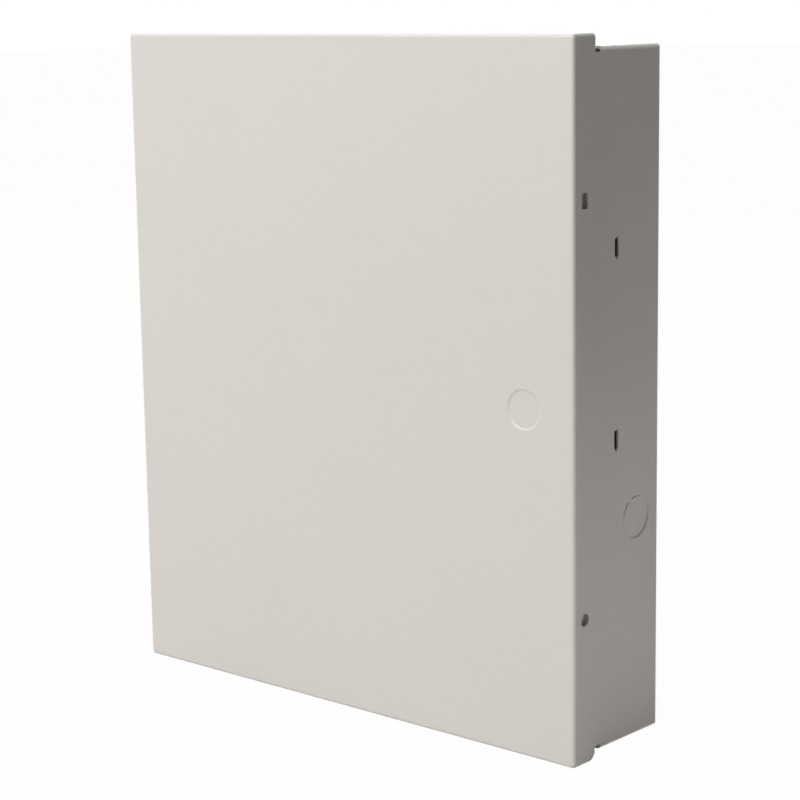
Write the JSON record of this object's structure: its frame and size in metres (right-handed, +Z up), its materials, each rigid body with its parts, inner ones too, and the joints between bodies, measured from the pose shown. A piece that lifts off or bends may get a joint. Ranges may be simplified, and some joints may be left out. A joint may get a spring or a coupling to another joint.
{
  "type": "alarm panel enclosure",
  "caption": "Shallow folded-steel wall box with a hinged pan door, knockouts for conduit and lock, board posts, earth stud and tamper switch, for housing an alarm control panel",
  "frame": {"origin": "middle of the wall face of the box", "axes": "X to the right seen from the front, Y into the wall, Z up"},
  "size_m": [0.3195, 0.078, 0.3683],
  "materials": {
    "painted_steel": "satin warm pale grey powder coat",
    "zinc_plated_steel": "bright zinc plate",
    "natural_nylon": "moulded natural nylon",
    "black_phenolic": "moulded black phenolic",
    "brass": "stamped brass"
  },
  "bodies": {
    "enclosure": {"back_box": "painted_steel", "hinge_frame_leaf_upper": "painted_steel", "hinge_frame_leaf_lower": "painted_steel", "hinge_pin_upper": "zinc_plated_steel", "hinge_pin_lower": "zinc_plated_steel", "board_standoff_1": "natural_nylon", "board_standoff_2": "natural_nylon", "board_standoff_3": "natural_nylon", "board_standoff_4": "natural_nylon", "earth_stud": "zinc_plated_steel", "earth_flat_washer": "zinc_plated_steel", "earth_star_washer": "zinc_plated_steel", "earth_nut": "zinc_plated_steel", "tamper_bracket": "zinc_plated_steel", "tamper_switch_body": "black_phenolic", "tamper_lock_nut": "zinc_plated_steel", "tamper_spring": "zinc_plated_steel", "tamper_terminal_upper": "brass", "tamper_terminal_lower": "brass"},
    "door": {"door": "painted_steel", "hinge_door_leaf_upper": "painted_steel", "hinge_door_leaf_lower": "painted_steel"},
    "plunger": {"tamper_plunger": "natural_nylon"}
  },
  "joints": [
    {"name": "door_hinge", "type": "hinge", "parent": "enclosure", "child": "door", "pos_m": [-0.15801, -0.05774, 0], "axis": [0, 0, -1], "range_deg": [0, 170]},
    {"name": "tamper_press", "type": "slide", "parent": "enclosure", "child": "plunger", "axis": [0, 1, 0], "range_m": [0, 0.004], "stiffness_N_per_m": 300, "deforming": ["tamper_spring"]}
  ]
}
